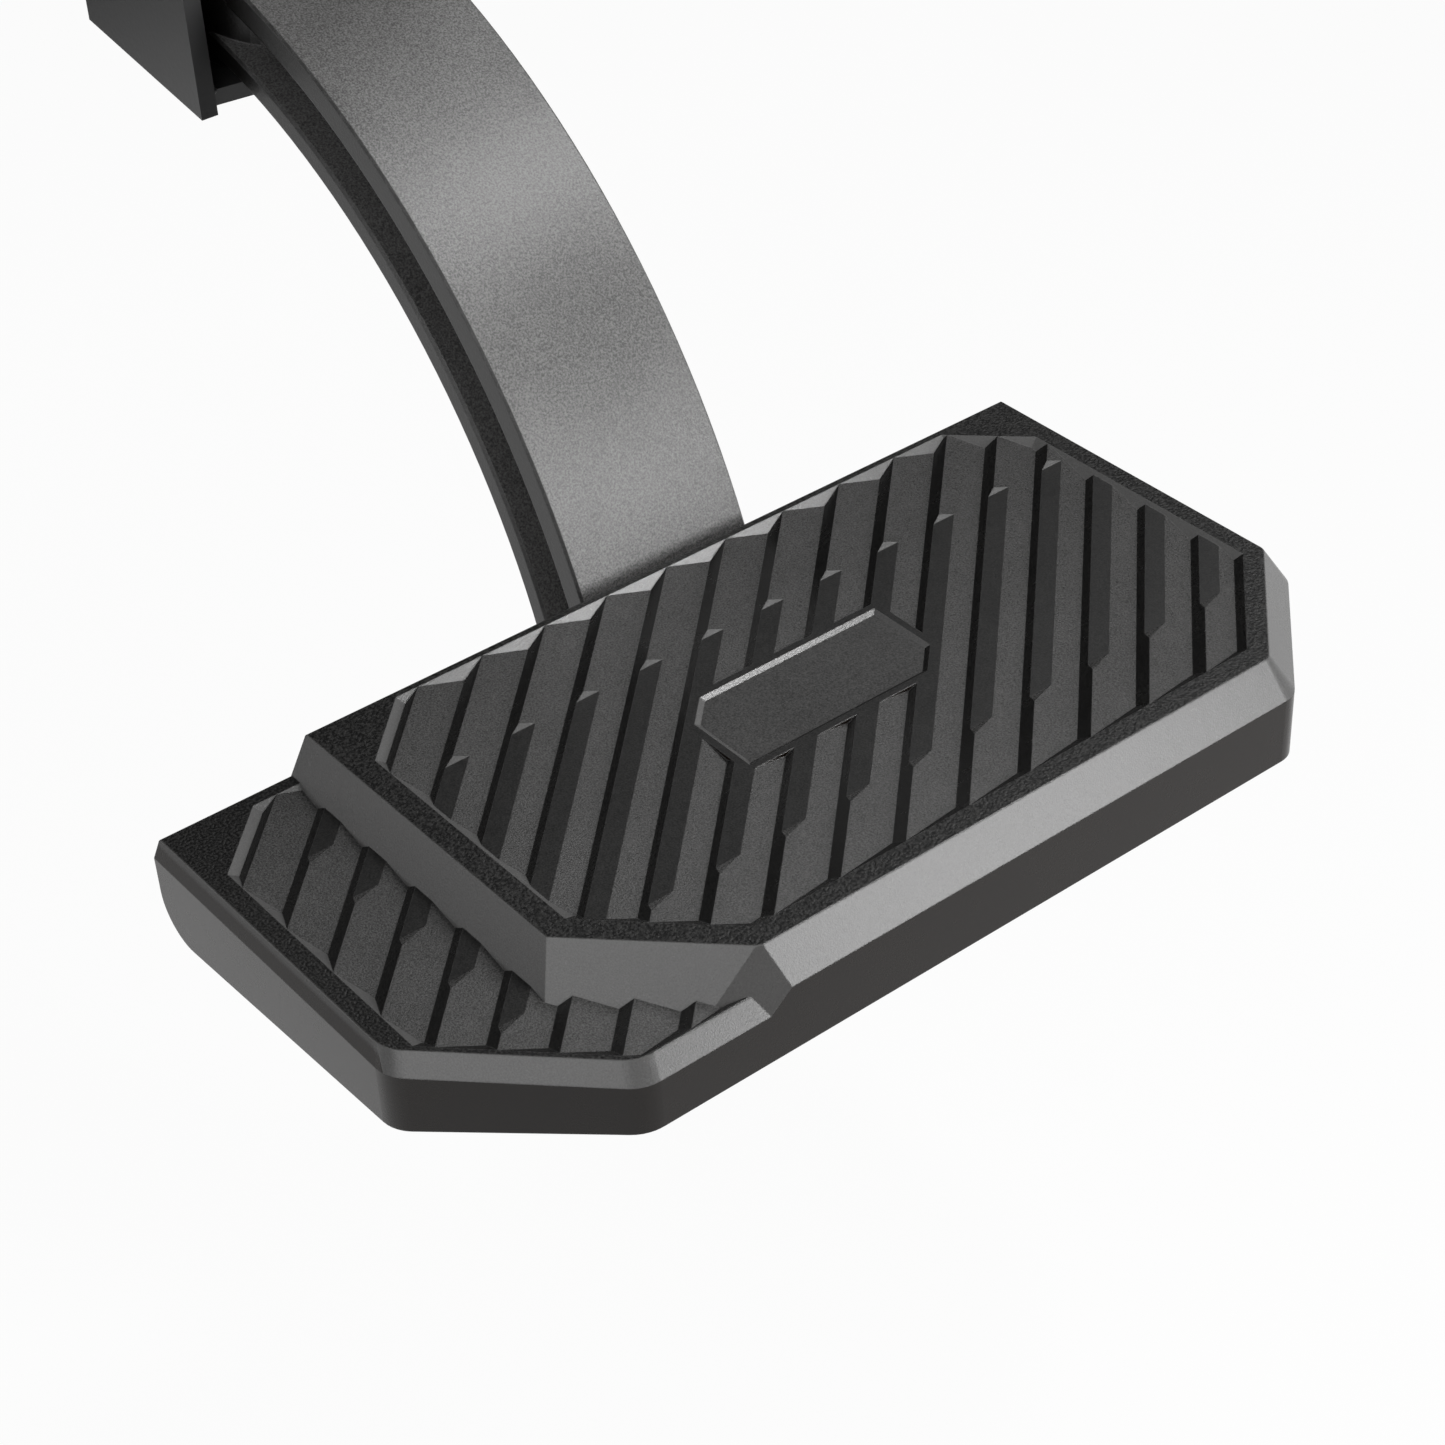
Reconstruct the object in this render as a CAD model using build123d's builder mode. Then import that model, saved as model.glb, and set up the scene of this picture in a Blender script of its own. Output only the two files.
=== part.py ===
from build123d import *
import os
from math import asin, cos, degrees, radians, sin, sqrt, tan

os.makedirs("parts", exist_ok=True)

# The origin is the middle of the bracket's top face. Z is up, the platform lies towards -Y.

# Upper deck, seen in plan with its own corner at x 0, y 0
deck_length = 360.0
deck_width = 210.0
deck_corner = 53.3
front_bevel_out = 11.0
corner_bevel_out = 10.6
end_bevel_out = 8.1
bevel_drop = 14.4
left_wall_run = 8.8
rim_radius = 0.8
rim_corner_round = 5.0
skirt_corner_round = 12.0
front_wall_run = 0.84
facet_lean = (-0.407, -0.772, 0.489)
inner_corner = 9.0

# Lower deck, wrapped round the left end
lower_drop = 15.3
lower_reach = 67.1
lower_left_out = 3.6
lower_bevel_out = 6.5
lower_bevel_drop = 7.2
lower_corner_sum = -9.0
lower_corner_round = 16.0

# Skirt
skirt_wall = 4.0
skirt_depth_front = 44.0
skirt_depth_back = 58.0
skirt_back_round = 18.0
back_skirt_depth = 44.0
blank_depth = 80.0

# Louvred tread
tread_depth = 3.0
tread_pitch = 21.7
tread_riser_run = 5.2
tread_slope = 60.0
upper_crest_from_corner = 37.4
lower_crest_from_corner = 38.3
tread_skin = 4.0
shelf_depth = 1.1
shelf_front_run = 4.1
shelf_back_run = 2.5
shelf_behind_crest = 11.0
shelf_past_crest = 19.0

# Rims left round the upper tread
rim_back = 3.5
rim_left = 10.8
rim_front = 9.5
rim_right = 9.0
pocket_back_left_cut = 42.6
pocket_front_left_cut = 14.2
pocket_front_right_cut = 11.95
pocket_back_right_cut = 41.3
shelf_front = 39.9
shelf_from_back = 49.3

# Rims left round the lower tread
lower_rim_left = 8.6
lower_rim_back = 6.4
lower_rim_front = 0.9
lower_pocket_back_left_cut = 43.6
lower_pocket_front_left_cut = 3.15
lower_pocket_end = 50.0
lower_shelf_left = -32.0
lower_shelf_length = 54.0
lower_shelf_first = 1
lower_shelf_count = 5

# Badge recess, left bare
badge_length = 101.0
badge_height = 45.6
badge_shift_x = -14.0
badge_shift_y = 0.8
badge_border = 3.1
badge_depth = 1.2
badge_corner = 12.2

# Place of the platform
deck_drop = 250.0
deck_back_gap = 0.3

# Arm
arm_width = 86.0
arm_face_radius = 338.4
arm_depth = 45.0
front_flange = 13.0
step_band = 6.7
step_recess = 4.0
side_channel = 15.0
channel_recess = 25.0
face_chamfer = 1.2
back_round = 2.5
foot_top = 30.0
foot_thickness = 12.0
foot_length = 141.0
heel_depth = 53.0
heel_length = 20.0
heel_slope = 20.0
foot_seat_gap = 1.5

# Post
post_angle = 100.0
hub_drop = 73.9
hub_height = 56.0
hub_diameter = 90.0
hub_edge = 1.5
bolt_diameter = 20.0
bolt_fit = 0.05
bolt_head_height = 12.5
bolt_head_flats = 30.0
bolt_end = 61.5
sleeve_diameter = 25.0
bush_fit = 0.05
bush_wall = 1.5
bush_length = 22.0
thrust_diameter = 46.0
thrust_thickness = 2.0
thrust_fit = 0.5
spring_outer = 46.0
spring_inner = 25.4
spring_thickness = 2.5
spring_height = 3.4
washer_diameter = 37.0
washer_thickness = 3.0
nut_height = 12.0

# Stops
stop_radius = 30.0
stop_pin_diameter = 10.0
stop_pin_depth = 16.0
stop_pin_short = 1.0
stop_start = 85.0
swing = 100.0
stop_side_gap = 0.3
stop_end_gap = 0.3
buffer_angle = 10.0

# Bracket
plate_length = 150.0
plate_width = 140.0
plate_thickness = 8.0
plate_corner = 10.0
mount_spacing_x = 110.0
mount_spacing_y = 100.0
mount_hole = 13.0
web_gap = 54.0
back_web_right = 10.0
left_web_front = -30.0
clevis_radius = 46.0

# Plate under the deck
frame_top = 26.0
frame_thickness = 4.0
frame_left = -50.0
frame_from_right = 20.0
frame_front = 25.0
frame_from_back = 10.0
frame_corner = 40.0
frame_lip = 10.0

# Ribs and bosses of the deck
rib_width = 3.0
rib_pitch = 50.0
rib_row_pitch = 52.0
rib_embed = 1.0
boss_diameter = 12.0
screw_diameter = 5.0
screw_fit = 0.1
screw_length = 16.0
screw_head = 8.0
screw_head_height = 3.0
screw_flange = 11.0
screw_flange_thickness = 1.2
screw_from_end = 40.0
screw_from_middle = 60.0
screw_from_front = 60.0
screw_from_back = 20.0

# Bolts of the arm's foot
arm_bolt = 10.0
arm_bolt_fit = 0.3
arm_bolt_flats = 16.0
arm_bolt_head = 6.4
arm_nut_height = 8.4
arm_washer = 20.0
arm_washer_thickness = 2.0
arm_bolt_spacing_x = 60.0
arm_bolt_spacing_y = 60.0
arm_bolts_from_back = 88.0
arm_bolt_spare = 3.0

# Places that follow from the sizes
root_two = sqrt(2)
deck_middle_x = deck_length / 2
arm_mid_radius = arm_face_radius - arm_depth / 2
arc_y = -arm_mid_radius * cos(radians(post_angle))
arc_z = -hub_drop - arm_mid_radius * sin(radians(post_angle))
foot_level = -deck_drop - foot_top
heel_y = arc_y - sqrt(arm_face_radius**2 - (foot_level - arc_z) ** 2)
front_rim_reach = deck_width - heel_y + deck_back_gap
deck_plane = Plane((-deck_middle_x, -front_rim_reach, -deck_drop))
foot_angle = 180 - degrees(asin((-deck_drop - heel_depth - arc_z) / arm_face_radius))
hub_centre = (0, 0, -hub_drop)
post_axis = (0, cos(radians(post_angle)), sin(radians(post_angle)))
post_plane = Plane(hub_centre, x_dir=(1, 0, 0), z_dir=post_axis)
hub_half = hub_height / 2
lower_plate_top = -hub_half - thrust_thickness
lower_plate_bottom = lower_plate_top - plate_thickness
springs_bottom = hub_half + thrust_thickness
upper_plate_bottom = springs_bottom + 2 * spring_height
upper_plate_top = upper_plate_bottom + plate_thickness
bush_outer = sleeve_diameter + 2 * (bush_fit + bush_wall)
pin_half_angle = degrees(asin(stop_pin_diameter / 2 / stop_radius))
end_gap_angle = degrees(stop_end_gap / stop_radius)
slot_start = stop_start - pin_half_angle - end_gap_angle - buffer_angle
slot_end = stop_start + swing + pin_half_angle + end_gap_angle + buffer_angle
slot_inner = stop_radius - stop_pin_diameter / 2 - stop_side_gap
slot_outer = stop_radius + stop_pin_diameter / 2 + stop_side_gap
skirt_left = -lower_reach - lower_left_out
skirt_right = deck_length + end_bevel_out
corner_sum = lower_corner_sum - lower_bevel_out * root_two
right_difference = deck_length - deck_corner + corner_bevel_out * root_two
screw_columns = (
    screw_from_end,
    deck_middle_x - screw_from_middle,
    deck_middle_x + screw_from_middle,
    deck_length - screw_from_end,
)
screw_rows = (screw_from_front, deck_width - screw_from_back)
arm_bolt_middle_y = deck_width - arm_bolts_from_back
frame_right = deck_length - frame_from_right
frame_back = deck_width - frame_from_back
upper_crest = upper_crest_from_corner - deck_width / root_two
lower_crest = lower_crest_from_corner - (lower_reach + deck_width) / root_two
upper_strips = int((deck_length + deck_width) / root_two / tread_pitch)
lower_strips = int((lower_reach + deck_width + deck_corner) / root_two / tread_pitch) + 1


def deck_point(x, y, z):
    """A point given from the upper deck's own corner."""
    return (x - deck_middle_x, y - front_rim_reach, z - deck_drop)


def slope(point, outward, run, drop):
    """The plane of a sloping face through a rim point, facing outward and up."""
    return Plane(deck_point(*point), z_dir=(outward[0] * drop, outward[1] * drop, run))


def block(rim, rim_round, skirt, skirt_round, rounded, top, drop, slopes, inset, top_inset):
    """A solid flared from its rim to its skirt, then cut by the planes of its other walls."""
    with BuildPart() as made:
        for outline, turn, depth in ((rim, rim_round, top), (skirt, skirt_round, top + drop)):
            with BuildSketch(deck_plane.offset(-depth)) as level:
                with BuildLine():
                    Polyline(*outline, close=True)
                make_face()
                fillet(level.vertices().sort_by(Axis.X)[rounded], turn)
                if inset:
                    offset(amount=-inset)
        loft(ruled=True)
        extrude(made.faces().sort_by(Axis.Z)[0], amount=blank_depth - top - drop)
        split(bisect_by=Plane.XZ.offset(front_rim_reach - deck_width + inset), keep=Keep.TOP)
        for face in slopes:
            split(bisect_by=face.offset(-inset), keep=Keep.BOTTOM)
        if top_inset:
            split(bisect_by=deck_plane.offset(-top - top_inset), keep=Keep.BOTTOM)
        else:
            fillet(made.faces().sort_by(Axis.Z)[-1].edges(), rim_radius)
    return made.part


def pocket(outline, level, depth, run):
    """A pocket whose walls all slope, run being how far they go in for each mm down."""
    with BuildPart() as made:
        with BuildSketch(deck_plane.offset(-level)):
            with BuildLine():
                Polyline(*outline, close=True)
            make_face()
        with BuildSketch(deck_plane.offset(-level - depth)):
            with BuildLine():
                Polyline(*outline, close=True)
            make_face()
            offset(amount=-depth * run, kind=Kind.INTERSECTION)
        loft(ruled=True)
    return made.part


def louvres(first, count, level):
    """The saw-toothed cutter of a tread, its strips running at 45 degrees in plan."""
    across = Plane(deck_point(0, 0, -level), x_dir=(1, -1, 0), z_dir=(-1, -1, 0))
    points = [(first, 1), (first, 0)]
    for strip in range(count):
        start = first + strip * tread_pitch
        points.append((start + tread_pitch - tread_riser_run, -tread_depth))
        points.append((start + tread_pitch, 0))
    points.append((first + count * tread_pitch, 1))
    with BuildPart() as made:
        with BuildSketch(across):
            with BuildLine():
                Polyline(*points, close=True)
            make_face()
        extrude(amount=deck_length + deck_width, both=True)
    return made.part


def ring(outer, inner, bottom, height, edge=0.0):
    """A ring or bush round the post."""
    with BuildPart() as made:
        with BuildSketch(post_plane.offset(bottom)):
            Circle(outer / 2)
            Circle(inner / 2, mode=Mode.SUBTRACT)
        extrude(amount=height)
        if edge:
            chamfer(made.edges().filter_by(GeomType.CIRCLE).group_by(SortBy.RADIUS)[-1], edge)
    return made.part


def sector(inner, outer, start, end, bottom, height):
    """A piece of a ring between two angles round the post."""
    with BuildPart() as made:
        with BuildSketch(post_plane.offset(bottom)):
            with BuildLine():
                low = CenterArc((0, 0), inner, start, end - start)
                high = CenterArc((0, 0), outer, start, end - start)
                Line(low @ 0, high @ 0)
                Line(low @ 1, high @ 1)
            make_face()
        extrude(amount=height)
    return made.part


# Deck: outer blocks and hollows
behind = deck_width + deck_corner
corner_out = 1 / root_two
upper_skirt = [
    (-front_bevel_out, behind),
    (-front_bevel_out, inner_corner + front_bevel_out),
    (inner_corner + front_bevel_out, -front_bevel_out),
    (right_difference - front_bevel_out, -front_bevel_out),
    (skirt_right, skirt_right - right_difference),
    (skirt_right, behind),
]
upper_rim = [
    (-front_bevel_out, behind),
    (-front_bevel_out, inner_corner + front_bevel_out),
    (inner_corner, 0),
    (deck_length - deck_corner, 0),
    (deck_length, deck_corner),
    (deck_length, behind),
]
upper_slopes = [
    slope((0, 0, 0), (-1, 0), left_wall_run, lower_drop),
    slope((0, deck_corner, 0), (-corner_out, -corner_out), front_wall_run, 1),
    Plane(deck_point(deck_corner, 0, -rim_radius), z_dir=facet_lean),
]
lower_front = lower_bevel_out - front_bevel_out
lower_skirt = [
    (skirt_left, behind),
    (skirt_left, corner_sum - skirt_left),
    (corner_sum + front_bevel_out, -front_bevel_out),
    (deck_middle_x, -front_bevel_out),
    (deck_middle_x, behind),
]
lower_rim = [
    (-lower_reach, behind),
    (-lower_reach, lower_corner_sum + lower_reach),
    (lower_corner_sum - lower_front, lower_front),
    (deck_middle_x, lower_front),
    (deck_middle_x, behind),
]
left_corners = slice(0, 3)
right_corners = slice(-3, None)
skin = tread_depth + tread_skin
rib_inset = skirt_wall - rib_embed
rib_skin = skin - rib_embed


def upper_block(inset, top_inset):
    return block(
        upper_rim, rim_corner_round, upper_skirt, skirt_corner_round, right_corners,
        0, bevel_drop, upper_slopes, inset, top_inset,
    )


def lower_block(inset, top_inset):
    return block(
        lower_rim, lower_corner_round, lower_skirt, lower_corner_round, left_corners,
        lower_drop, lower_bevel_drop, [], inset, top_inset,
    )


# Deck: treads
riser_run = tan(radians(tread_slope))
pocket_left = rim_left
pocket_right = deck_length - rim_right
pocket_back = deck_width - rim_back
pocket_front = rim_front
pocket_back_left = pocket_back_left_cut - deck_width
pocket_front_left = deck_corner + pocket_front_left_cut
pocket_front_right = deck_length - deck_corner - pocket_front_right_cut
pocket_back_right = deck_length + deck_width - pocket_back_right_cut
shelf_back = deck_width - shelf_from_back
upper_pocket_outline = [
    (pocket_left, pocket_front_left - pocket_left),
    (pocket_front_left - pocket_front, pocket_front),
    (pocket_front_right + pocket_front, pocket_front),
    (pocket_right, pocket_right - pocket_front_right),
    (pocket_right, pocket_back_right - pocket_right),
    (pocket_back_right - pocket_back, pocket_back),
    (pocket_back_left + pocket_back, pocket_back),
    (pocket_left, pocket_left - pocket_back_left),
]
lower_left = lower_rim_left - lower_reach
lower_back = deck_width - lower_rim_back
lower_edge = lower_front + lower_rim_front
lower_back_left = lower_pocket_back_left_cut - lower_reach - deck_width
lower_front_left = lower_corner_sum + lower_pocket_front_left_cut
lower_pocket_outline = [
    (lower_left, lower_front_left - lower_left),
    (lower_front_left - lower_edge, lower_edge),
    (lower_pocket_end, lower_edge),
    (lower_pocket_end, lower_back),
    (lower_back_left + lower_back, lower_back),
    (lower_left, lower_left - lower_back_left),
]
badge_left = deck_middle_x + badge_shift_x - badge_length / 2
badge_right = badge_left + badge_length
badge_front = deck_width / 2 + badge_shift_y - badge_height / 2
badge_back = badge_front + badge_height
recess_outline = [
    (badge_left, badge_front),
    (badge_right - badge_corner, badge_front),
    (badge_right, badge_front + badge_corner),
    (badge_right, badge_back),
    (badge_left + badge_corner, badge_back),
    (badge_left, badge_back - badge_corner),
]

with BuildPart() as upper_tread:
    add(louvres(upper_crest - tread_pitch, upper_strips, 0))
    add(pocket(upper_pocket_outline, 0, tread_depth, riser_run), mode=Mode.INTERSECT)
    with BuildSketch(deck_plane.offset(-blank_depth)):
        with BuildLine():
            Polyline(*recess_outline, close=True)
        make_face()
        offset(amount=badge_border, kind=Kind.INTERSECTION)
    extrude(amount=2 * blank_depth, mode=Mode.SUBTRACT)

with BuildPart() as lower_tread:
    add(louvres(lower_crest - tread_pitch, lower_strips, lower_drop))
    add(pocket(lower_pocket_outline, lower_drop, tread_depth, riser_run), mode=Mode.INTERSECT)

# The middle of each upper strip is cut down to a shelf, steep behind and gentle in front
shelf_middle = (shelf_front + shelf_back) / 2
with BuildPart() as upper_shelf:
    for low, high, run in (
        (shelf_front, shelf_back - badge_height, shelf_front_run),
        (shelf_middle, shelf_back, shelf_back_run),
    ):
        add(
            pocket(
                [
                    (-deck_corner, low),
                    (deck_length + deck_corner, low),
                    (deck_length + deck_corner, high),
                    (-deck_corner, high),
                ],
                0, shelf_depth, run,
            )
        )
    add(pocket(upper_pocket_outline, 0, shelf_depth, riser_run), mode=Mode.INTERSECT)

# Each lower strip has a shelf of its own, from its gentle end to the upper deck
with BuildPart() as lower_shelf:
    for strip in range(lower_shelf_first, lower_shelf_first + lower_shelf_count):
        crest = (lower_crest + strip * tread_pitch) * root_two
        start = lower_shelf_left - crest
        end = start + lower_shelf_length
        add(
            pocket(
                [
                    (start + crest - shelf_behind_crest, start),
                    (start + crest + shelf_past_crest, start),
                    (end + crest + shelf_past_crest, end),
                    (end + crest - shelf_behind_crest, end),
                ],
                lower_drop, shelf_depth, shelf_front_run,
            )
        )

# Deck: ribs under both decks
rib_columns = int(deck_middle_x / rib_pitch) + 1
with BuildPart() as ribs:
    with BuildSketch(deck_plane.offset(-frame_top)):
        for column in range(-rib_columns, rib_columns):
            with Locations((deck_middle_x + column * rib_pitch, deck_middle_x)):
                Rectangle(rib_width, 2 * deck_length)
        for row in range(-2, 2):
            with Locations((deck_middle_x, arm_bolt_middle_y + row * rib_row_pitch)):
                Rectangle(2 * deck_length, rib_width)
    extrude(amount=frame_top)
    add(upper_block(rib_inset, rib_skin) + lower_block(rib_inset, rib_skin), mode=Mode.INTERSECT)

with BuildPart() as deck:
    add(lower_block(0, 0))
    add(lower_tread.part, mode=Mode.SUBTRACT)
    add(lower_shelf.part, mode=Mode.SUBTRACT)
    add(upper_block(0, 0))
    split(
        bisect_by=Plane(
            deck_point(0, -front_bevel_out, -skirt_depth_front),
            z_dir=(0, skirt_depth_back - skirt_depth_front, deck_width + front_bevel_out),
        ),
        keep=Keep.TOP,
    )
    fillet(deck.edges().filter_by(Axis.X).sort_by(Axis.Z)[0], skirt_back_round)
    add(upper_tread.part, mode=Mode.SUBTRACT)
    add(upper_shelf.part, mode=Mode.SUBTRACT)
    add(pocket(recess_outline, shelf_depth, badge_depth, riser_run), mode=Mode.SUBTRACT)
    add(upper_block(skirt_wall, skin), mode=Mode.SUBTRACT)
    add(lower_block(skirt_wall, skin), mode=Mode.SUBTRACT)
    add(ribs.part)
    with BuildSketch(deck_plane.offset(-frame_top)):
        for x in screw_columns:
            for y in screw_rows:
                with Locations((x, y)):
                    Circle(boss_diameter / 2)
    extrude(amount=frame_top - skin + rib_embed)
    with BuildSketch(deck_plane.offset(-frame_top)):
        for x in screw_columns:
            for y in screw_rows:
                with Locations((x, y)):
                    Circle(screw_diameter / 2 + screw_fit)
    extrude(amount=screw_length, mode=Mode.SUBTRACT)
    # The back skirt is shorter than the ends and is open where the arm passes
    with BuildSketch(deck_plane.offset(-blank_depth)):
        with Locations((deck_middle_x, deck_width)):
            Rectangle(deck_length, 4 * skirt_wall)
    extrude(amount=blank_depth - back_skirt_depth, mode=Mode.SUBTRACT)
    with BuildSketch(deck_plane.offset(-blank_depth)):
        with Locations((deck_middle_x, deck_width)):
            Rectangle(arm_width + 2 * foot_seat_gap, 4 * skirt_wall)
    extrude(amount=blank_depth - foot_top + foot_seat_gap, mode=Mode.SUBTRACT)

deck.part.label = "deck"
export_step(deck.part, "parts/deck.step")

# Plate under the deck
with BuildPart() as deck_frame:
    with BuildSketch(deck_plane.offset(-frame_top - frame_thickness)):
        with BuildLine():
            Polyline(
                (frame_left, frame_back),
                (frame_left, frame_front + frame_corner),
                (frame_left + frame_corner, frame_front),
                (frame_right - frame_corner, frame_front),
                (frame_right, frame_front + frame_corner),
                (frame_right, frame_back),
                close=True,
            )
        make_face()
    extrude(amount=frame_thickness)
    with BuildSketch(deck_plane.offset(-frame_top - frame_lip)):
        with Locations(((frame_left + frame_right) / 2, frame_front + frame_thickness / 2)):
            Rectangle(frame_right - frame_left - 2 * frame_corner, frame_thickness)
    extrude(amount=frame_lip)
    with BuildSketch(deck_plane.offset(-blank_depth)):
        for x in screw_columns:
            for y in screw_rows:
                with Locations((x, y)):
                    Circle(screw_diameter / 2 + screw_fit)
        with Locations((deck_middle_x, arm_bolt_middle_y)):
            with GridLocations(arm_bolt_spacing_x, arm_bolt_spacing_y, 2, 2):
                Circle(arm_bolt / 2 + arm_bolt_fit)
    extrude(amount=blank_depth, mode=Mode.SUBTRACT)

deck_frame.part.label = "deck_frame"
export_step(deck_frame.part, "parts/deck_frame.step")

# Arm
arc_lean = (0, -sin(radians(post_angle)), cos(radians(post_angle)))
arc_plane = Plane((0, arc_y, arc_z), x_dir=(1, 0, 0), z_dir=arc_lean)
face_half = arm_width / 2
step_half = face_half - step_recess
web_half = face_half - channel_recess
flange_in = arm_face_radius - front_flange
step_in = flange_in - step_band
channel_in = step_in - side_channel
back_in = arm_face_radius - arm_depth
foot_plane = Plane((0, 0, 0), x_dir=(0, 1, 0), z_dir=(1, 0, 0))

with BuildPart() as arm:
    with BuildSketch(arc_plane):
        with BuildLine():
            Polyline(
                (-face_half, arm_face_radius),
                (face_half, arm_face_radius),
                (face_half, flange_in),
                (step_half, flange_in),
                (step_half, step_in),
                (web_half, step_in),
                (web_half, channel_in),
                (face_half, channel_in),
                (face_half, back_in),
                (-face_half, back_in),
                (-face_half, channel_in),
                (-web_half, channel_in),
                (-web_half, step_in),
                (-step_half, step_in),
                (-step_half, flange_in),
                (-face_half, flange_in),
                close=True,
            )
        section = make_face()
        chamfer(section.vertices().group_by(Axis.Z)[-1], face_chamfer)
    revolve(axis=Axis((0, arc_y, arc_z), (1, 0, 0)), revolution_arc=foot_angle - post_angle)
    split(bisect_by=Plane.XY.offset(-deck_drop - heel_depth), keep=Keep.TOP)
    with BuildSketch(foot_plane):
        with BuildLine():
            Polyline(
                (heel_y + 7, -deck_drop - foot_top),
                (heel_y - foot_length, -deck_drop - foot_top),
                (heel_y - foot_length, -deck_drop - foot_top - foot_thickness),
                (heel_y - heel_length - heel_slope, -deck_drop - foot_top - foot_thickness),
                (heel_y - heel_length, -deck_drop - heel_depth),
                (heel_y + 7, -deck_drop - heel_depth),
                close=True,
            )
        make_face()
    extrude(amount=face_half, both=True)
    with BuildSketch(post_plane.offset(-hub_half)):
        Circle(hub_diameter / 2)
    extrude(amount=hub_height)
    with BuildSketch(post_plane.offset(-hub_half)):
        Circle(bush_outer / 2)
    extrude(amount=hub_height, mode=Mode.SUBTRACT)
    with BuildSketch(post_plane.offset(-hub_half)):
        with Locations((stop_radius * cos(radians(stop_start)), stop_radius * sin(radians(stop_start)))):
            Circle(stop_pin_diameter / 2)
    extrude(amount=stop_pin_depth, mode=Mode.SUBTRACT)
    with BuildSketch(deck_plane.offset(-blank_depth)):
        with Locations((deck_middle_x, arm_bolt_middle_y)):
            with GridLocations(arm_bolt_spacing_x, arm_bolt_spacing_y, 2, 2):
                Circle(arm_bolt / 2 + arm_bolt_fit)
    extrude(amount=blank_depth - foot_top, mode=Mode.SUBTRACT)

arm.part.label = "arm"
export_step(arm.part, "parts/arm.step")

# Bracket
with BuildPart() as bracket:
    with BuildSketch(Plane.XY.offset(-plate_thickness)):
        RectangleRounded(plate_length, plate_width, plate_corner)
    extrude(amount=plate_thickness)
    with BuildSketch(Plane.XY.offset(-2 * blank_depth)):
        with BuildLine():
            Polyline(
                (back_web_right, web_gap),
                (-web_gap, web_gap),
                (-web_gap, left_web_front),
                (-web_gap - plate_thickness, left_web_front),
                (-web_gap - plate_thickness, web_gap + plate_thickness),
                (back_web_right, web_gap + plate_thickness),
                close=True,
            )
        make_face()
    extrude(amount=2 * blank_depth - plate_thickness)
    for bottom in (lower_plate_bottom, upper_plate_bottom):
        with BuildSketch(post_plane.offset(bottom)):
            Circle(clevis_radius)
            with BuildLine():
                Polyline(
                    (clevis_radius * cos(radians(45)), clevis_radius * sin(radians(45))),
                    (back_web_right, web_gap + plate_thickness / 2),
                    (-web_gap - plate_thickness / 2, web_gap + plate_thickness / 2),
                    (-web_gap - plate_thickness / 2, left_web_front),
                    (-clevis_radius * cos(radians(45)), -clevis_radius * sin(radians(45))),
                    close=True,
                )
            make_face()
        extrude(amount=plate_thickness)
    split(bisect_by=post_plane.offset(lower_plate_bottom), keep=Keep.TOP)
    with BuildSketch(Plane.XY.offset(-plate_thickness)):
        with GridLocations(mount_spacing_x, mount_spacing_y, 2, 2):
            Circle(mount_hole / 2)
    extrude(amount=plate_thickness, mode=Mode.SUBTRACT)
    with BuildSketch(post_plane.offset(lower_plate_bottom)):
        Circle(bolt_diameter / 2 + bolt_fit)
    extrude(amount=upper_plate_top - lower_plate_bottom, mode=Mode.SUBTRACT)
    add(
        sector(slot_inner, slot_outer, slot_start, slot_end, lower_plate_bottom, plate_thickness),
        mode=Mode.SUBTRACT,
    )

bracket.part.label = "bracket"
export_step(bracket.part, "parts/bracket.step")

# Post and what sits on it
with BuildPart() as pivot_bolt:
    with BuildSketch(post_plane.offset(lower_plate_bottom - bolt_head_height)):
        RegularPolygon(bolt_head_flats / 2, 6, major_radius=False)
    extrude(amount=bolt_head_height)
    with BuildSketch(post_plane.offset(lower_plate_bottom)):
        Circle(bolt_diameter / 2)
    extrude(amount=bolt_end - lower_plate_bottom)
    chamfer(pivot_bolt.edges().filter_by(GeomType.CIRCLE).sort_by(Axis.Z)[-1], 1)

pivot_bolt.part.label = "pivot_bolt"
export_step(pivot_bolt.part, "parts/pivot_bolt.step")

pivot_washer = ring(washer_diameter, bolt_diameter + 2 * bolt_fit, upper_plate_top, washer_thickness)
pivot_washer.label = "pivot_washer"
export_step(pivot_washer, "parts/pivot_washer.step")

with BuildPart() as pivot_nut:
    with BuildSketch(post_plane.offset(upper_plate_top + washer_thickness)):
        RegularPolygon(bolt_head_flats / 2, 6, major_radius=False)
        Circle(bolt_diameter / 2 + bolt_fit, mode=Mode.SUBTRACT)
    extrude(amount=nut_height)

pivot_nut.part.label = "pivot_nut"
export_step(pivot_nut.part, "parts/pivot_nut.step")

pivot_sleeve = ring(
    sleeve_diameter, bolt_diameter + 2 * bolt_fit, lower_plate_top, upper_plate_bottom - lower_plate_top
)
pivot_sleeve.label = "pivot_sleeve"
export_step(pivot_sleeve, "parts/pivot_sleeve.step")

bush_inner = sleeve_diameter + 2 * bush_fit
upper_bush = ring(bush_outer, bush_inner, hub_half - bush_length, bush_length)
upper_bush.label = "upper_bush"
export_step(upper_bush, "parts/upper_bush.step")

lower_bush = ring(bush_outer, bush_inner, -hub_half, bush_length)
lower_bush.label = "lower_bush"
export_step(lower_bush, "parts/lower_bush.step")

thrust_inner = sleeve_diameter + 2 * thrust_fit
upper_thrust_washer = ring(thrust_diameter, thrust_inner, hub_half, thrust_thickness)
upper_thrust_washer.label = "upper_thrust_washer"
export_step(upper_thrust_washer, "parts/upper_thrust_washer.step")

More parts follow.
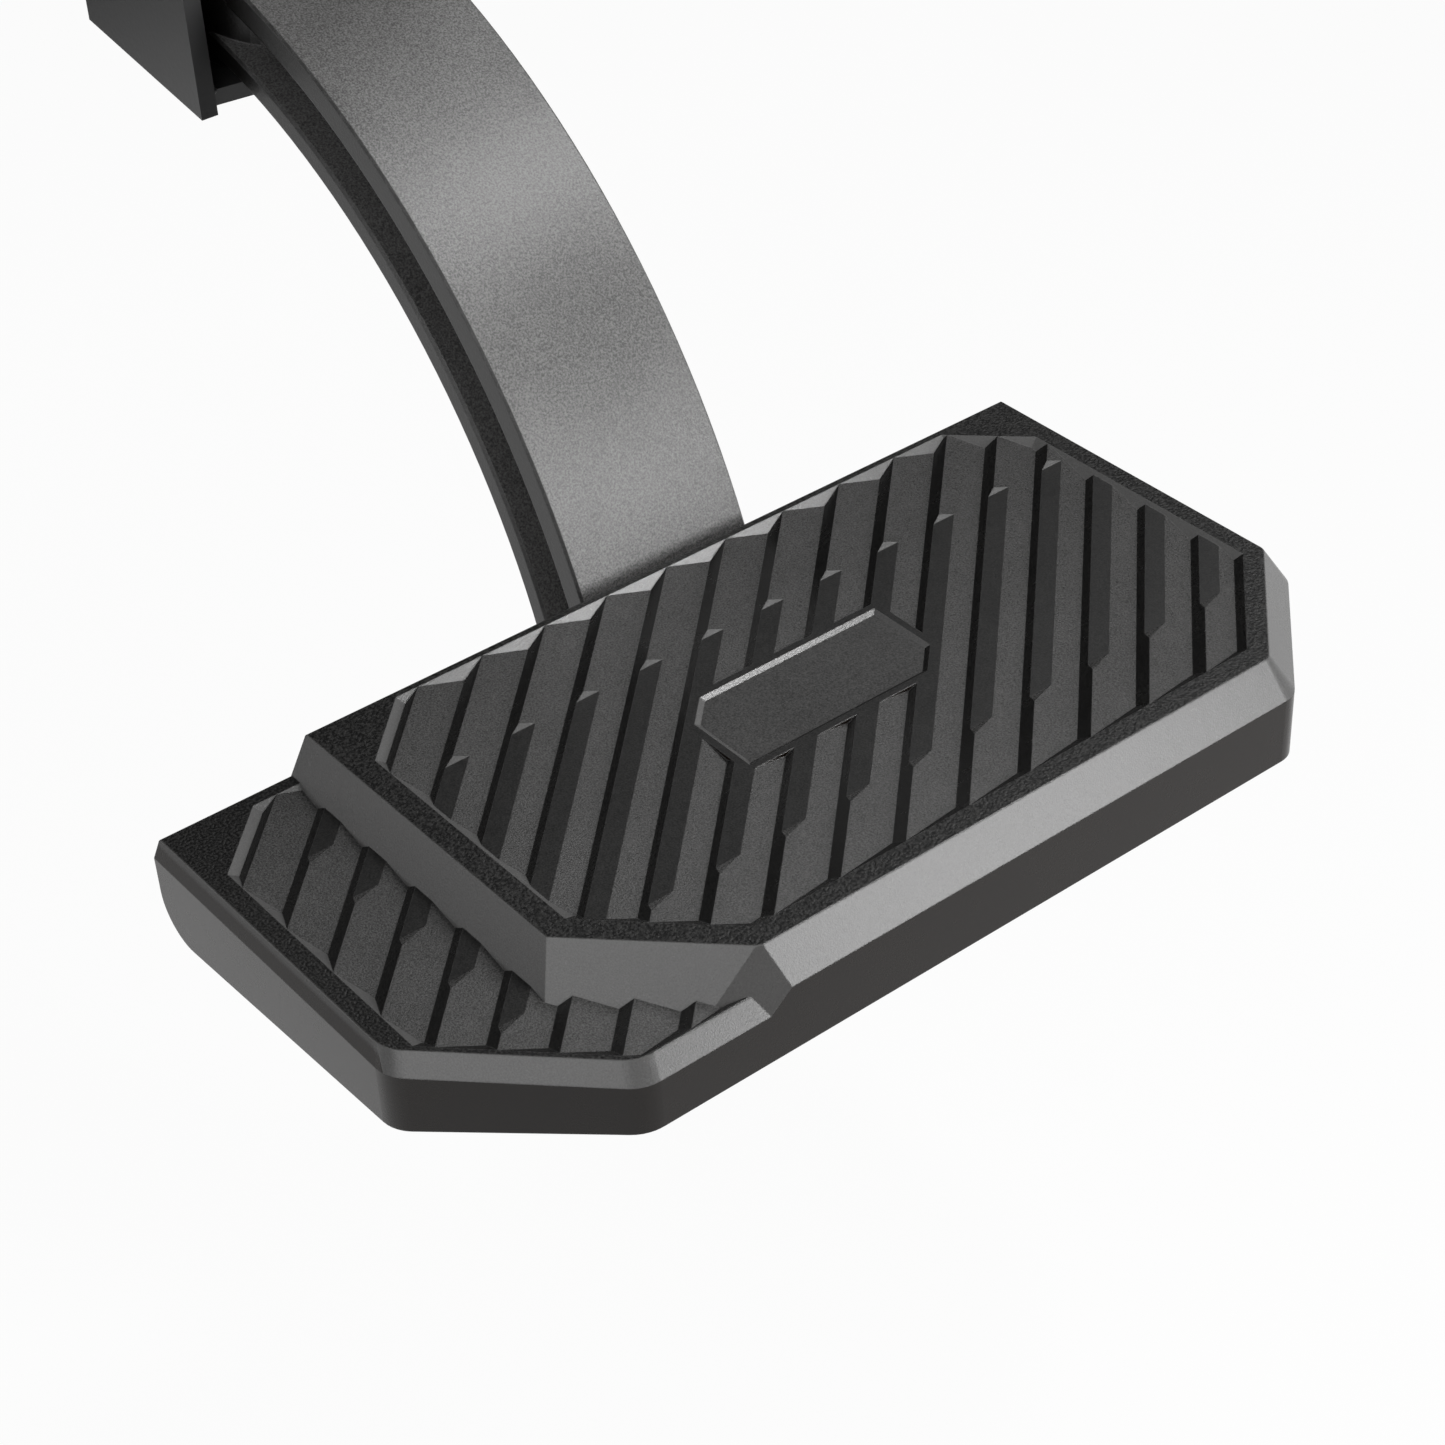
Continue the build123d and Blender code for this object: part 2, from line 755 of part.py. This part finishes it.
lower_thrust_washer = ring(thrust_diameter, thrust_inner, lower_plate_top, thrust_thickness)
lower_thrust_washer.label = "lower_thrust_washer"
export_step(lower_thrust_washer, "parts/lower_thrust_washer.step")

# Two cone springs stand back to back and meet at their outer edges
spring_plane = Plane(hub_centre, x_dir=(1, 0, 0), z_dir=(0, -post_axis[2], post_axis[1]))
spring_rise = spring_height - spring_thickness
spring_meet = springs_bottom + spring_height
with BuildPart() as disc_springs:
    for side in (-1, 1):
        with BuildSketch(spring_plane):
            with BuildLine():
                Polyline(
                    (spring_outer / 2, spring_meet),
                    (spring_outer / 2, spring_meet + side * spring_thickness),
                    (spring_inner / 2, spring_meet + side * spring_height),
                    (spring_inner / 2, spring_meet + side * spring_rise),
                    close=True,
                )
            make_face()
        revolve(axis=Axis(hub_centre, post_axis))

disc_springs.part.label = "disc_springs"
export_step(disc_springs.part, "parts/disc_springs.step")

# Stops
pin_x = stop_radius * cos(radians(stop_start))
pin_y = stop_radius * sin(radians(stop_start))
with BuildPart() as stop_pin:
    with BuildSketch(post_plane.offset(lower_plate_bottom + stop_pin_short)):
        with Locations((pin_x, pin_y)):
            Circle(stop_pin_diameter / 2)
    extrude(amount=stop_pin_depth - hub_half - lower_plate_bottom - stop_pin_short)

stop_pin.part.label = "stop_pin"
export_step(stop_pin.part, "parts/stop_pin.step")

deployed_buffer = sector(
    slot_inner, slot_outer, slot_start, slot_start + buffer_angle, lower_plate_bottom, plate_thickness
)
deployed_buffer.label = "deployed_buffer"
export_step(deployed_buffer, "parts/deployed_buffer.step")

stowed_buffer = sector(
    slot_inner, slot_outer, slot_end - buffer_angle, slot_end, lower_plate_bottom, plate_thickness
)
stowed_buffer.label = "stowed_buffer"
export_step(stowed_buffer, "parts/stowed_buffer.step")

# Bolts of the arm's foot, heads below and nuts inside the deck
foot_bottom = foot_top + foot_thickness
bolt_seat = foot_bottom + arm_washer_thickness
bolt_tip = frame_top - arm_nut_height - arm_bolt_spare
with BuildPart() as arm_bolts:
    with BuildSketch(deck_plane.offset(-bolt_seat - arm_bolt_head)):
        with Locations((deck_middle_x, arm_bolt_middle_y)):
            with GridLocations(arm_bolt_spacing_x, arm_bolt_spacing_y, 2, 2):
                RegularPolygon(arm_bolt_flats / 2, 6, major_radius=False)
    extrude(amount=arm_bolt_head)
    with BuildSketch(deck_plane.offset(-bolt_seat)):
        with Locations((deck_middle_x, arm_bolt_middle_y)):
            with GridLocations(arm_bolt_spacing_x, arm_bolt_spacing_y, 2, 2):
                Circle(arm_bolt / 2)
    extrude(amount=bolt_seat - bolt_tip)

arm_bolts.part.label = "arm_bolts"
export_step(arm_bolts.part, "parts/arm_bolts.step")

with BuildPart() as arm_washers:
    with BuildSketch(deck_plane.offset(-bolt_seat)):
        with Locations((deck_middle_x, arm_bolt_middle_y)):
            with GridLocations(arm_bolt_spacing_x, arm_bolt_spacing_y, 2, 2):
                Circle(arm_washer / 2)
                Circle(arm_bolt / 2 + bolt_fit, mode=Mode.SUBTRACT)
    extrude(amount=arm_washer_thickness)

arm_washers.part.label = "arm_washers"
export_step(arm_washers.part, "parts/arm_washers.step")

with BuildPart() as arm_nuts:
    with BuildSketch(deck_plane.offset(-frame_top)):
        with Locations((deck_middle_x, arm_bolt_middle_y)):
            with GridLocations(arm_bolt_spacing_x, arm_bolt_spacing_y, 2, 2):
                RegularPolygon(arm_bolt_flats / 2, 6, major_radius=False)
                Circle(arm_bolt / 2 + bolt_fit, mode=Mode.SUBTRACT)
    extrude(amount=arm_nut_height)

arm_nuts.part.label = "arm_nuts"
export_step(arm_nuts.part, "parts/arm_nuts.step")

# Screws of the deck, with flanged heads below the plate
screw_seat = frame_top + frame_thickness
with BuildPart() as deck_screws:
    for x in screw_columns:
        for y in screw_rows:
            with BuildSketch(deck_plane.offset(-screw_seat - screw_flange_thickness)):
                with Locations((x, y)):
                    Circle(screw_flange / 2)
            extrude(amount=screw_flange_thickness)
            with BuildSketch(deck_plane.offset(-screw_seat - screw_flange_thickness - screw_head_height)):
                with Locations((x, y)):
                    RegularPolygon(screw_head / 2, 6, major_radius=False)
            extrude(amount=screw_head_height)
            with BuildSketch(deck_plane.offset(-screw_seat)):
                with Locations((x, y)):
                    Circle(screw_diameter / 2)
            extrude(amount=screw_length)

deck_screws.part.label = "deck_screws"
export_step(deck_screws.part, "parts/deck_screws.step")
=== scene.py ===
import math

import bmesh
import bpy
from mathutils import Matrix, Vector


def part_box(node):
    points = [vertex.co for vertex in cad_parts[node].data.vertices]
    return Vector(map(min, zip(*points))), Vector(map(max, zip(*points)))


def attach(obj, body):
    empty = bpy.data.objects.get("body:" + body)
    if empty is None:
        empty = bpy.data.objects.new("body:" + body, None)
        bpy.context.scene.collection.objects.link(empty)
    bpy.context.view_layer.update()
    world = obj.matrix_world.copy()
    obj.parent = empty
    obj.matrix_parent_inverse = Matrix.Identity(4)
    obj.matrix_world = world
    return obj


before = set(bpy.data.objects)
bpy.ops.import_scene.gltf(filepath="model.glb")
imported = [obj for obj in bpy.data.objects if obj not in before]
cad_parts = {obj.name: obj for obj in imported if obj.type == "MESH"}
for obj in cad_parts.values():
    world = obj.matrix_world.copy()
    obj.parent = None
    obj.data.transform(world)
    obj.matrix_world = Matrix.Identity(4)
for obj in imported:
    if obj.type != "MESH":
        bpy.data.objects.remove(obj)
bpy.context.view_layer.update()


# The camera looks down on the platform's left front corner through a long lens, as in a
# catalogue picture, a little turned about its own line of sight.
camera_data = bpy.data.cameras.new("camera")
camera_data.lens = 75.94
camera_data.sensor_width = 36.0
camera = bpy.data.objects.new("camera", camera_data)
bpy.context.collection.objects.link(camera)
camera_right = Vector((0.78089, -0.62309, -0.04435))
camera_up = Vector((0.40400, 0.44962, 0.79663))
camera_back = Vector((-0.47643, -0.64000, 0.60284))
camera_place = Vector((-0.6087, -1.1097, 0.4485))
camera_turn = Matrix((camera_right, camera_up, camera_back)).transposed()
camera.matrix_world = Matrix.Translation(camera_place) @ camera_turn.to_4x4()
bpy.context.scene.camera = camera
bpy.context.scene.view_settings.view_transform = "Standard"


# Plain studio light from six soft boxes, the strongest on the front right, where the bevels
# mirror it. Two black cards stand behind and above the part and keep the flat tops dark. The
# floor is well below, as the part hangs from its bracket.
class Socket:
    """A shader socket that can be written in sums and products."""

    def __init__(self, tree, link=None):
        self.tree = tree
        self.link = link

    def node(self, kind, settings=None, inputs=None, out=0):
        """Adds a node, sets or links its inputs and gives one of its outputs."""
        made = self.tree.nodes.new(kind)
        for name, value in (settings or {}).items():
            setattr(made, name, value)
        for name, value in (inputs or {}).items():
            if isinstance(value, Socket):
                value.into(made.inputs[name])
            else:
                made.inputs[name].default_value = value
        return Socket(self.tree, made.outputs[out])

    def other(self, name):
        """Another output of the same node."""
        return Socket(self.tree, self.link.node.outputs[name])

    def into(self, socket):
        self.tree.links.new(self.link, socket)

    def maths(self, operation, second=0.0):
        return self.node("ShaderNodeMath", {"operation": operation}, {0: self, 1: second})

    def __add__(self, other):
        return self.maths("ADD", other)

    def __radd__(self, other):
        return self.maths("ADD", other)

    def __sub__(self, other):
        return self.maths("SUBTRACT", other)

    def __rsub__(self, other):
        return self.node("ShaderNodeMath", {"operation": "SUBTRACT"}, {0: other, 1: self})

    def __mul__(self, other):
        return self.maths("MULTIPLY", other)

    def __gt__(self, other):
        return self.maths("GREATER_THAN", other)

    def __lt__(self, other):
        return self.maths("LESS_THAN", other)

    def clamped(self):
        return self.maths("MINIMUM", 1.0).maths("MAXIMUM", 0.0)

    def between(self, low, high):
        """Rises from nothing at low to one at high."""
        return ((self - low) * (1.0 / (high - low))).clamped()

    def near(self, value, slack):
        """One where this lies within the slack of a value."""
        return (self > value - slack) * (self < value + slack)

    def noise(self, scale, detail=2.0, rough=0.5):
        return self.node("ShaderNodeTexNoise", {},
                         {"Vector": self, "Scale": scale, "Detail": detail, "Roughness": rough})

    def mix(self, first, second):
        """The first colour where this is nothing, the second where it is one."""
        return self.node("ShaderNodeMix", {"data_type": "RGBA"},
                         {0: self, 6: first, 7: second}, out=2)

    def facing(self):
        """The way a face looks in the piece's own directions, the same in every pose."""
        return self.node("ShaderNodeVectorTransform", {
            "vector_type": "NORMAL", "convert_from": "WORLD", "convert_to": "OBJECT"}, {
            "Vector": self.node("ShaderNodeNewGeometry", out="True Normal")})

    def edges(self, radius):
        """The normal rounded over at the edges, and how near an edge the point is."""
        rounded = self.node("ShaderNodeBevel", {"samples": 3}, {"Radius": radius})
        flat = self.node("ShaderNodeNewGeometry", out="True Normal")
        turn = self.node("ShaderNodeVectorMath", {"operation": "DOT_PRODUCT"},
                         {0: rounded, 1: flat}, out="Value")
        return rounded, (1.0 - turn).between(0.01, 0.16)

    def bump(self, strength, distance, normal=None):
        inputs = {"Height": self, "Strength": strength, "Distance": distance}
        if normal:
            inputs["Normal"] = normal
        return self.node("ShaderNodeBump", {}, inputs)

    def seen(self):
        """One where the camera sees the point, straight, in a mirror or through glass."""
        rays = self.node("ShaderNodeLightPath", out="Is Camera Ray")
        return (rays + rays.other("Is Glossy Ray") + rays.other("Is Transmission Ray")).clamped()


def surface(name, **constants):
    """A new material, its shader's inputs and the surface's own coordinates."""
    material = bpy.data.materials.new(name)
    material.use_nodes = True
    shader = material.node_tree.nodes["Principled BSDF"]
    for socket, value in constants.items():
        shader.inputs[socket.replace("_", " ")].default_value = value
    at = Socket(material.node_tree).node("ShaderNodeTexCoord", out="Object")
    return material, shader.inputs, at


def soft_box(name, place, target, width, height, power):
    """A glowing rectangle at a place, turned to face its target."""
    data = bpy.data.lights.new(name, "AREA")
    data.shape = "RECTANGLE"
    data.size = width
    data.size_y = height
    data.energy = power
    lamp = bpy.data.objects.new(name, data)
    bpy.context.collection.objects.link(lamp)
    lamp.location = place
    line = Vector(target) - Vector(place)
    lamp.rotation_euler = line.to_track_quat("-Z", "Y").to_euler()


def sheet(name, corners, material):
    """A flat stage piece with four corners."""
    mesh = bpy.data.meshes.new(name)
    mesh.from_pydata(corners, [], [(0, 1, 2, 3)])
    mesh.materials.append(material)
    made = bpy.data.objects.new(name, mesh)
    bpy.context.collection.objects.link(made)
    return made


platform = (-0.02, -0.38, -0.26)
soft_box("front_soft_box", (0.55, -1.39, 0.17), platform, 0.60, 0.54, 13.0)
soft_box("high_soft_box", (0.60, -0.54, 0.91), platform, 0.20, 0.16, 8.5)
soft_box("left_soft_box", (-0.95, -0.80, 0.62), platform, 0.7, 0.7, 5.4)
soft_box("side_soft_box", (-1.35, 0.50, 0.02), platform, 0.9, 0.5, 2.0)
soft_box("back_soft_box", (1.15, 0.57, 1.36), platform, 1.4, 0.50, 8.5)
soft_box("rear_soft_box", (-0.7, 1.3, 0.5), platform, 0.8, 0.8, 4.0)

room_light = 0.2
world = bpy.data.worlds.new("studio")
bpy.context.scene.world = world
world.use_nodes = True
world.node_tree.nodes.clear()
studio = Socket(world.node_tree)
glow = studio.node("ShaderNodeBackground", {}, {
    "Color": (1.0, 1.0, 1.0, 1.0),
    "Strength": studio.seen() * (1.0 - room_light) + room_light})
glow.into(world.node_tree.nodes.new("ShaderNodeOutputWorld").inputs["Surface"])

floor_drop = 0.30
floor_half = 6.0
floor_white = 0.95
floor_pale, shader, at = surface("floor_pale", Roughness=0.9, Specular_IOR_Level=0.0)
at.noise(3.0).mix((0.55, 0.55, 0.55, 1.0), (0.60, 0.60, 0.60, 1.0)).into(shader["Base Color"])
lit = Socket(at.tree, floor_pale.node_tree.nodes["Principled BSDF"].outputs[0])
white = at.node("ShaderNodeEmission", {}, {"Color": (1.0, 1.0, 1.0, 1.0), "Strength": 1.0})
at.node("ShaderNodeMixShader", {}, {0: at.seen() * floor_white, 1: lit, 2: white}).into(
    floor_pale.node_tree.nodes["Material Output"].inputs["Surface"])
floor_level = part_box("deck")[0][2] - floor_drop
sheet("floor", [(-floor_half, -floor_half, floor_level), (floor_half, -floor_half, floor_level),
                (floor_half, floor_half, floor_level), (-floor_half, floor_half, floor_level)],
      floor_pale)

card_black, shader, at = surface("card_black", Roughness=1.0, Specular_IOR_Level=0.0)
at.noise(5.0).mix((0.003, 0.003, 0.003, 1.0), (0.006, 0.006, 0.006, 1.0)).into(
    shader["Base Color"])
card_left = -1.0
card_right = 2.6
card_foot = (0.62, -0.38)
card_bend = (0.62, 1.75)
card_lip = (-0.75, 1.95)
for name, near, far in (("back_card", card_foot, card_bend), ("top_card", card_bend, card_lip)):
    card = sheet(name, [(card_left, *near), (card_right, *near),
                        (card_right, *far), (card_left, *far)], card_black)
    card.visible_camera = False
    card.visible_shadow = False


# The deck is one black moulding. Its flat rims have a coarse spark-eroded grain, the louvres a
# finer one, and the bevels and the skirt are nearly smooth, so they carry a soft sheen. The
# louvres and the bevels are coloured a lighter grey than the rims, which is painted sheen.
def dress(nodes, material):
    """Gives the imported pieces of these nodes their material."""
    for node in nodes:
        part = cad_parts[node]
        for slot in part.material_slots:
            slot.material = material
        if not part.material_slots:
            part.data.materials.append(material)


# A level is a height in metres. A tilt is one on a face that lies flat and nothing on an
# upright one.
upper_rim_level = -0.2500
lower_rim_level = -0.2653
rim_slack = 0.0004
recess_level = -0.2523
recess_slack = 0.0003
left_bevel_foot = -0.2668
left_skirt_start = -0.2690
flat_tilt = 0.9995
louvre_tilt = 0.93
riser_tilt = 0.84
riser_lean = 0.2
bevel_tilt = 0.28
left_lean = -0.82
deck_black, shader, at = surface("deck_black", Specular_IOR_Level=0.30)
tilt = at.node("ShaderNodeSeparateXYZ", {}, {"Vector": at.facing()}, out="Z")
lean_back = tilt.other("Y")
height = at.node("ShaderNodeSeparateXYZ", {}, {"Vector": at}, out="Z")
flat = tilt > flat_tilt
tread = tilt > louvre_tilt
top = (height > upper_rim_level - rim_slack) + height.near(lower_rim_level, rim_slack)
rim = flat * top
recess = flat * height.near(recess_level, recess_slack)
coarse = at.noise(950.0, detail=1.0, rough=0.4)
fine = at.noise(1500.0, rough=0.6)
mottle = at.noise(24.0, detail=3.0, rough=0.55)
scuff = at.noise(150.0, detail=4.0, rough=0.7)
grain = rim * (coarse - fine) + fine
rounded, edge = at.edges(0.0007)
shade = ((grain - 0.5) * (2.4 + rim * 1.2) + mottle * 0.35 + scuff * 0.25 + 0.12).clamped()
dark = shade.mix((0.0012, 0.0012, 0.0012, 1.0), (0.0200, 0.0197, 0.0192, 1.0))
# Painted sheen: the louvres get a lighter grey than the black rims, and the flat floor of the
# recess nearly as light.
louvre_painted_sheen = shade.mix((0.018, 0.0177, 0.0174, 1.0), (0.070, 0.0694, 0.0686, 1.0))
# Painted sheen: the bevels get a mid grey, lighter than the black rims.
bevel_painted_sheen = shade.mix((0.066, 0.0655, 0.065, 1.0), (0.092, 0.0913, 0.0904, 1.0))
leaning = tread * (1.0 - flat)
riser = (tilt > riser_tilt) * (lean_back > riser_lean)
sloping = (1.0 - tread) * (tilt > bevel_tilt) * (1.0 - riser)
# The moulding's black, with the painted sheen of the louvres, the recess floor and the bevels.
moulded_and_painted_sheen = sloping.mix((leaning + recess * 0.8).mix(dark, louvre_painted_sheen), bevel_painted_sheen)
skirt = shade.mix((0.0030, 0.0014, 0.0006, 1.0), (0.0076, 0.0048, 0.0032, 1.0))
left_wall = (tilt.other("X") < left_lean) * height.between(left_bevel_foot, left_skirt_start)
body = (tilt.between(0.55, 0.30) + left_wall).clamped().mix(moulded_and_painted_sheen, skirt)
# The base colour turns lighter grey within the rounding of the edges.
(edge * 0.55).mix(body, (0.10, 0.0995, 0.099, 1.0)).into(shader["Base Color"])
(0.24 + flat * 0.12 - leaning * 0.04 + mottle * 0.03 + scuff * 0.03).into(shader["Roughness"])
(grain * (0.40 + leaning * 0.5 + rim * 1.9)).bump(
    strength=0.6, distance=0.00025, normal=rounded).into(shader["Normal"])
dress(["deck"], deck_black)


# The arm is an aluminium casting, blasted and given a thin dark coat, so its wide front face
# has a satin sheen with a very fine sandy grain. Its sideways faces, the flanks and the deep
# side channels, are coloured nearly black, which is painted shade.
arm_coat, shader, at = surface("arm_coat", Specular_IOR_Level=0.40)
sand = at.noise(1150.0, detail=3.0, rough=0.65)
cloud = at.noise(14.0, detail=3.0)
sideways = at.node("ShaderNodeSeparateXYZ", {}, {"Vector": at.facing()}, out="X")
rounded, edge = at.edges(0.0008)
sides_painted_shade = sideways.maths("ABSOLUTE").between(0.55, 0.75)
satin = ((cloud - 0.5) * 0.7 + (sand - 0.5) * 3.6 + 0.5).clamped().mix(
    (0.042, 0.0415, 0.041, 1.0), (0.155, 0.1535, 0.152, 1.0))
# Painted shade: the faces turned sideways, in the side channels, are coloured nearly black.
coat = sides_painted_shade.mix(satin, (0.0035, 0.0033, 0.0031, 1.0))
# The base colour turns lighter grey within the rounding of the edges.
(edge * 0.4).mix(coat, (0.22, 0.219, 0.217, 1.0)).into(shader["Base Color"])
(0.32 + cloud * 0.06 + sand * 0.05).into(shader["Roughness"])
sand.bump(strength=0.6, distance=0.00022, normal=rounded).into(shader["Normal"])
dress(["arm"], arm_coat)


# The plate under the deck is cut from rolled aluminium sheet, left bare, with the mill's
# lines running along it.
plate_mill, shader, at = surface("plate_mill", Metallic=1.0)
along = at.node("ShaderNodeMapping", {}, {"Vector": at, "Scale": (4.0, 900.0, 900.0)})
lines = along.noise(1.0, detail=3.0, rough=0.6)
dull = at.noise(9.0, detail=3.0, rough=0.6)
dull.mix((0.42, 0.42, 0.43, 1.0), (0.58, 0.58, 0.59, 1.0)).into(shader["Base Color"])
(0.36 + lines * 0.14).into(shader["Roughness"])
lines.bump(strength=0.2, distance=0.00008).into(shader["Normal"])
dress(["deck_frame"], plate_mill)


# The bracket is welded from steel plate and powder coated black, with the slight orange peel
# of a thick coat.
bracket_coat, shader, at = surface("bracket_coat")
peel = at.noise(420.0)
haze = at.noise(18.0, detail=3.0)
haze.mix((0.012, 0.012, 0.0125, 1.0), (0.022, 0.022, 0.0225, 1.0)).into(shader["Base Color"])
(0.38 + haze * 0.12).into(shader["Roughness"])
peel.bump(strength=0.22, distance=0.00025).into(shader["Normal"])
dress(["bracket"], bracket_coat)


# The bracket's plates are joined by fillet welds laid by hand before painting, so each bead
# shows the ripples of its run and a rounded start and end.
weld_leg = 0.0042
weld_ripple = 0.0019
weld_ripple_depth = 0.07
weld_lag = 0.0007
weld_bulge = 0.16
weld_blunt_end = 0.05
weld_sink = 0.0003
weld_step = 0.0004
weld_corners = 7
web_inside = 0.054
web_outside = 0.062
bead_left = -0.060
bead_right = 0.008
bead_front = -0.028
bead_back = 0.060
under_top = -0.008
upper_plate_top = -0.02841
lower_plate_top = -0.10436
post_lean_sine = 0.17365
post_lean_cosine = 0.98481
post_lean_slope = 0.17633


def weld(mesh, start, end, first_leg, second_leg):
    """Adds one bead in the corner from start to end, between two directions of its legs."""
    start, end = Vector(start), Vector(end)
    first_leg, second_leg = Vector(first_leg).normalized(), Vector(second_leg).normalized()
    length = (end - start).length
    rings = []
    count = int(length / weld_step)
    for place in range(count + 1):
        run = length * place / count
        to_end = min(run, length - run, weld_leg) / weld_leg
        ripple = 0.5 + 0.5 * math.cos(2 * math.pi * run / weld_ripple)
        swell = math.sqrt(max(weld_blunt_end, 1 - (1 - to_end) ** 2))
        size = weld_leg * swell * (1 - weld_ripple_depth + weld_ripple_depth * ripple)
        root = start.lerp(end, run / length) - (first_leg + second_leg) * weld_sink
        ring = [mesh.verts.new(root)]
        for corner in range(weld_corners):
            turn = math.pi / 2 * corner / (weld_corners - 1)
            middle = math.sin(2 * turn)
            out = size / (math.cos(turn) + math.sin(turn)) * (1 + weld_bulge * middle)
            along = max(0.0, min(length, run - weld_lag * middle)) / length
            ring.append(mesh.verts.new(start.lerp(end, along) + out * (
                first_leg * math.cos(turn) + second_leg * math.sin(turn))))
        rings.append(ring)
    for back, front in zip(rings, rings[1:]):
        for corner in range(weld_corners + 1):
            after = (corner + 1) % (weld_corners + 1)
            mesh.faces.new((back[corner], back[after], front[after], front[corner]))
    mesh.faces.new(rings[0])
    mesh.faces.new(reversed(rings[-1]))


def clevis_level(y, level):
    """The height of a clevis plate's face at one place. It is square to the tilted post."""
    return level + post_lean_slope * y


beads = bmesh.new()
weld(beads, (bead_left, web_outside, under_top), (bead_right, web_outside, under_top),
     (0, 1, 0), (0, 0, -1))
weld(beads, (-web_outside, bead_front, under_top), (-web_outside, bead_back, under_top),
     (-1, 0, 0), (0, 0, -1))
weld(beads, (-web_inside, web_inside, under_top), (bead_right, web_inside, under_top),
     (0, -1, 0), (0, 0, -1))
weld(beads, (-web_inside, bead_front, under_top), (-web_inside, web_inside, under_top),
     (1, 0, 0), (0, 0, -1))
for level in (upper_plate_top, lower_plate_top):
    corner = clevis_level(web_inside, level)
    weld(beads, (-web_inside, web_inside, corner), (bead_right, web_inside, corner),
         (0, -1, -post_lean_slope), (0, 0, 1))
    weld(beads, (-web_inside, bead_front, clevis_level(bead_front, level)),
         (-web_inside, web_inside, corner), (1, 0, 0), (0, -post_lean_sine, post_lean_cosine))
bmesh.ops.recalc_face_normals(beads, faces=beads.faces)
bead_mesh = bpy.data.meshes.new("bracket_welds")
beads.to_mesh(bead_mesh)
beads.free()
for face in bead_mesh.polygons:
    face.use_smooth = True
bead_mesh.materials.append(bracket_coat)
bracket_welds = bpy.data.objects.new("bracket_welds", bead_mesh)
bpy.context.collection.objects.link(bracket_welds)
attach(bracket_welds, "bracket_body")


# Bolts, nuts, washers and screws are zinc plated, faintly yellow and blue where the
# passivation is thicker.
zinc, shader, at = surface("zinc", Metallic=1.0)
tint = at.noise(60.0, detail=3.0, rough=0.6)
fine = at.noise(900.0, rough=0.6)
tint.mix((0.50, 0.50, 0.47, 1.0), (0.62, 0.63, 0.66, 1.0)).into(shader["Base Color"])
(0.30 + fine * 0.14).into(shader["Roughness"])
fine.bump(strength=0.12, distance=0.00006).into(shader["Normal"])
dress(["pivot_bolt", "pivot_washer", "pivot_nut", "arm_bolts", "arm_washers", "arm_nuts",
       "deck_screws"], zinc)


# The sleeve, the pin and the disc springs are hardened steel, ground and lightly oiled.
ground, shader, at = surface("ground_steel", Metallic=1.0)
oil = at.noise(80.0, detail=3.0, rough=0.6)
scratch = at.noise(1100.0, rough=0.6)
oil.mix((0.25, 0.25, 0.25, 1.0), (0.42, 0.42, 0.43, 1.0)).into(shader["Base Color"])
(0.22 + scratch * 0.16).into(shader["Roughness"])
scratch.bump(strength=0.10, distance=0.00005).into(shader["Normal"])
dress(["pivot_sleeve", "stop_pin", "disc_springs"], ground)


# The bushes and thrust washers are turned from bearing bronze, already a little brown.
bronze, shader, at = surface("bronze", Metallic=1.0)
tarnish = at.noise(70.0, detail=3.0, rough=0.6)
turning = at.noise(1000.0)
tarnish.mix((0.42, 0.25, 0.10, 1.0), (0.62, 0.41, 0.19, 1.0)).into(shader["Base Color"])
(0.28 + turning * 0.16).into(shader["Roughness"])
turning.bump(strength=0.10, distance=0.00005).into(shader["Normal"])
dress(["upper_bush", "lower_bush", "upper_thrust_washer", "lower_thrust_washer"], bronze)


# The two buffers at the ends of the slot are moulded rubber, matt and a little dusty.
rubber, shader, at = surface("buffer_rubber")
dust = at.noise(120.0, detail=3.0, rough=0.6)
pores = at.noise(800.0, rough=0.6)
dust.mix((0.010, 0.010, 0.010, 1.0), (0.030, 0.029, 0.028, 1.0)).into(shader["Base Color"])
(0.70 + dust * 0.15).into(shader["Roughness"])
pores.bump(strength=0.2, distance=0.0001).into(shader["Normal"])
dress(["deployed_buffer", "stowed_buffer"], rubber)
